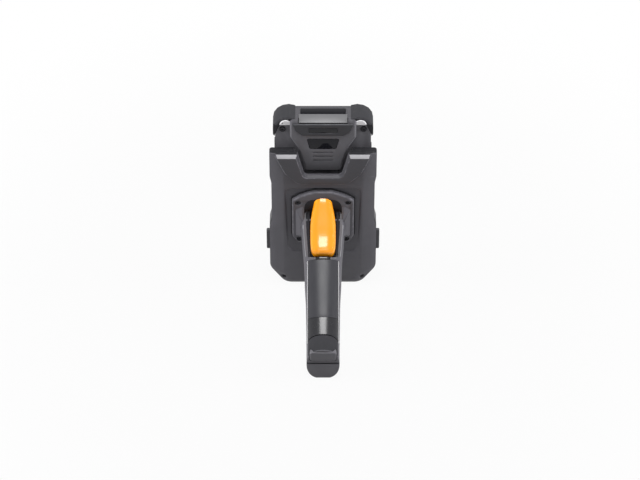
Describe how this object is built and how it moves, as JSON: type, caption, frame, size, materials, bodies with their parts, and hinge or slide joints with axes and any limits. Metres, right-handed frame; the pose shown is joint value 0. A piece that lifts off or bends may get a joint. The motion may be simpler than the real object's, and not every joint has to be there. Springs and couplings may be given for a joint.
{
  "type": "pistol-grip handheld tag reader",
  "caption": "Rugged handheld computer docked in a flat reader sled with a pistol grip, trigger, removable grip battery and side buttons.",
  "frame": {"origin": "centre of the bounding box at the level of the surface the reader stands on, under the sled's tail and the heel of the grip", "axes": "+Z along the handheld towards its scanning end, -Y the side that the grip and trigger point to, +Y the way the screen faces, X across the width"},
  "size_m": [0.1088, 0.1616, 0.2012],
  "materials": {
    "charcoal_plastic": "fine-textured charcoal moulding",
    "dark_plastic": "fine-textured near-black moulding",
    "black_rubber": "matt overmoulded rubber",
    "black_gloss": "polished black plastic",
    "orange_gloss": "glossy orange-yellow moulding",
    "dark_glass": "black-backed clear window",
    "light_bar_plastic": "satin grey light guide",
    "circuit_board": "solder-masked board",
    "shield_metal": "satin sheet",
    "screw_steel": "black-oxide screws",
    "spring_steel": "bright wire and pin",
    "cell_wrap": "blue shrink wrap",
    "ceramic": "unglazed ceramic"
  },
  "bodies": {
    "sled": {"sled_shell": "charcoal_plastic", "rim_band": "black_rubber", "sled_tray": "dark_plastic", "hood_collar": "charcoal_plastic", "reader_board": "circuit_board", "reader_module": "shield_metal", "antenna_plate": "shield_metal", "antenna_patch": "ceramic", "dock_connector": "black_gloss", "tail_screw_1": "screw_steel", "tail_screw_2": "screw_steel", "flange_screw_1": "screw_steel", "flange_screw_2": "screw_steel", "flange_screw_3": "screw_steel", "flange_screw_4": "screw_steel", "grip_flange": "charcoal_plastic", "grip_shell_left": "charcoal_plastic", "grip_shell_right": "charcoal_plastic", "grip_front_sheet": "dark_plastic", "grip_band": "black_gloss", "trigger_pin": "spring_steel", "trigger_lip": "black_gloss", "switch_block": "dark_plastic", "trigger_switch": "black_gloss", "trigger_spring": "spring_steel", "contact_block": "dark_plastic"},
    "trigger": {"trigger": "orange_gloss"},
    "battery": {"battery_pack": "cell_wrap", "base_cap": "charcoal_plastic"},
    "latch": {"latch_button": "dark_plastic"},
    "side_button_left": {"side_button_left": "dark_plastic"},
    "side_button_right": {"side_button_right": "dark_plastic"},
    "handheld": {"handheld_housing": "dark_plastic", "handheld_bezel": "black_rubber", "display_glass": "dark_glass", "display_module": "black_gloss", "main_board": "circuit_board", "handheld_battery": "cell_wrap", "scan_engine": "black_gloss", "scan_window": "dark_glass", "light_bar": "light_bar_plastic", "camera_module": "black_gloss", "camera_window": "dark_glass", "speaker": "shield_metal", "top_cap": "dark_plastic", "nameplate": "black_gloss", "bumper_left": "black_rubber", "bumper_right": "black_rubber", "corner_post_left": "charcoal_plastic", "corner_post_right": "charcoal_plastic", "body_screw_1": "screw_steel", "body_screw_2": "screw_steel"},
    "scan_key_left": {"scan_key_left": "dark_plastic"},
    "volume_key": {"volume_key": "dark_plastic"},
    "scan_key_right": {"scan_key_right": "dark_plastic"},
    "power_key": {"power_key": "dark_plastic"}
  },
  "joints": [
    {"name": "trigger_hinge", "type": "hinge", "parent": "sled", "child": "trigger", "pos_m": [0, 0.04033, 0.09148], "axis": [1, 0, 0], "range_deg": [0, 8], "stiffness_Nm_per_rad": 0.6, "springref_deg": -8.59, "deforming": ["trigger_spring"]},
    {"name": "battery_slide", "type": "slide", "parent": "sled", "child": "battery", "axis": [0, -0.8829, -0.4695], "range_m": [0, 0.09]},
    {"name": "latch_press", "type": "slide", "parent": "battery", "child": "latch", "axis": [0, 1, 0], "range_m": [0, 0.0012], "stiffness_N_per_m": 1200, "springref_m": -0.0012},
    {"name": "side_button_left_press", "type": "slide", "parent": "sled", "child": "side_button_left", "axis": [1, 0, 0], "range_m": [0, 0.0012], "stiffness_N_per_m": 1500, "springref_m": -0.0012},
    {"name": "side_button_right_press", "type": "slide", "parent": "sled", "child": "side_button_right", "axis": [-1, 0, 0], "range_m": [0, 0.0012], "stiffness_N_per_m": 1500, "springref_m": -0.0012},
    {"name": "handheld_slide", "type": "slide", "parent": "sled", "child": "handheld", "axis": [0, 0, 1], "range_m": [0, 0.16]},
    {"name": "scan_key_left_press", "type": "slide", "parent": "handheld", "child": "scan_key_left", "axis": [1, 0, 0], "range_m": [0, 0.0005], "stiffness_N_per_m": 2500, "springref_m": -0.0006},
    {"name": "volume_key_press", "type": "slide", "parent": "handheld", "child": "volume_key", "axis": [1, 0, 0], "range_m": [0, 0.0005], "stiffness_N_per_m": 2500, "springref_m": -0.0006},
    {"name": "scan_key_right_press", "type": "slide", "parent": "handheld", "child": "scan_key_right", "axis": [-1, 0, 0], "range_m": [0, 0.0005], "stiffness_N_per_m": 2500, "springref_m": -0.0006},
    {"name": "power_key_press", "type": "slide", "parent": "handheld", "child": "power_key", "axis": [-1, 0, 0], "range_m": [0, 0.0005], "stiffness_N_per_m": 2500, "springref_m": -0.0006}
  ]
}
